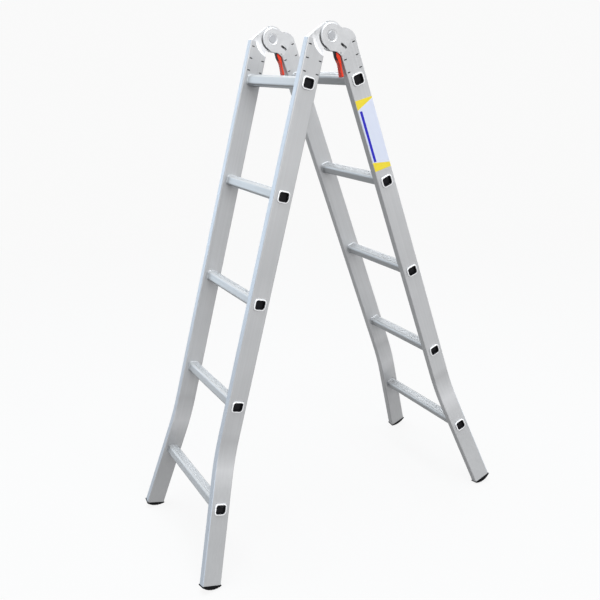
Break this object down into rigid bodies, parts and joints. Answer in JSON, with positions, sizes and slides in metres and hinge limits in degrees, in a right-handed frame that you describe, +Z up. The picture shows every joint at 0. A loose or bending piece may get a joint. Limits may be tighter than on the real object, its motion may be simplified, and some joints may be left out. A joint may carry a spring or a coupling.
{
  "type": "folding ladder",
  "caption": "Folding A-frame ladder: two rung frames with flared legs on a pair of locking hinges, each released by a red lever.",
  "frame": {"origin": "on the floor, midway between the feet, with the ladder standing open", "axes": "+Z up, +X across the ladder along the rungs, +Y from the front frame to the rear frame that carries the levers"},
  "size_m": [0.4864, 1.0002, 1.4164],
  "materials": {
    "stile": "satin, drawn",
    "rung": "satin, drawn",
    "hinge": "die-cast, tumbled",
    "rivet": "zinc plated",
    "lock": "zinc plated",
    "spring": "spring wire",
    "plug": "black moulded",
    "foot": "black rubber",
    "lever_core": "black moulded",
    "lever_grip": "red moulded"
  },
  "bodies": {
    "front_frame": {"front_stile_near": "stile", "front_stile_far": "stile", "front_rung_1": "rung", "front_rung_2": "rung", "front_rung_3": "rung", "front_rung_4": "rung", "front_rung_5": "rung", "front_rung_plugs": "plug", "front_foot_near": "foot", "front_foot_far": "foot", "hinge_tongue_near": "hinge", "hinge_tongue_far": "hinge"},
    "rear_frame": {"rear_stile_near": "stile", "rear_stile_far": "stile", "rear_rung_1": "rung", "rear_rung_2": "rung", "rear_rung_3": "rung", "rear_rung_4": "rung", "rear_rung_5": "rung", "rear_rung_plugs": "plug", "rear_foot_near": "foot", "rear_foot_far": "foot", "hinge_clevis_near": "hinge", "hinge_clevis_far": "hinge", "hinge_rivet_near": "rivet", "hinge_rivet_far": "rivet", "lock_spring_near": "spring", "lock_spring_far": "spring", "lever_pin_near": "rivet", "lever_pin_far": "rivet"},
    "lever_near": {"lever_core_near": "lever_core", "lever_grip_near": "lever_grip"},
    "bolt_near": {"lock_bolt_near": "lock", "lock_pin_near": "lock"},
    "lever_far": {"lever_core_far": "lever_core", "lever_grip_far": "lever_grip"},
    "bolt_far": {"lock_bolt_far": "lock", "lock_pin_far": "lock"}
  },
  "joints": [
    {"name": "fold", "type": "hinge", "parent": "front_frame", "child": "rear_frame", "pos_m": [0, 0, 1.3824], "axis": [1, 0, 0], "range_deg": [-35.2, 144.8]},
    {"name": "lever_near_turn", "type": "hinge", "parent": "rear_frame", "child": "lever_near", "pos_m": [0.157, 0.02359, 1.3411], "axis": [-1, 0, 0], "range_deg": [-7.93, 4.66]},
    {"name": "bolt_near_slide", "type": "slide", "parent": "rear_frame", "child": "bolt_near", "axis": [0, 0.7944, -0.6074], "range_m": [-0.0021, 0.0012], "stiffness_N_per_m": 1000},
    {"name": "lever_far_turn", "type": "hinge", "parent": "rear_frame", "child": "lever_far", "pos_m": [-0.157, 0.02359, 1.3411], "axis": [-1, 0, 0], "range_deg": [-7.93, 4.66]},
    {"name": "bolt_far_slide", "type": "slide", "parent": "rear_frame", "child": "bolt_far", "axis": [0, 0.7944, -0.6074], "range_m": [-0.0021, 0.0012], "stiffness_N_per_m": 1000}
  ],
  "couplings": [
    {"joint": "lever_near_turn", "follows": "bolt_near_slide", "rad_per_m": 63.416},
    {"joint": "lever_far_turn", "follows": "bolt_far_slide", "rad_per_m": 63.416}
  ]
}
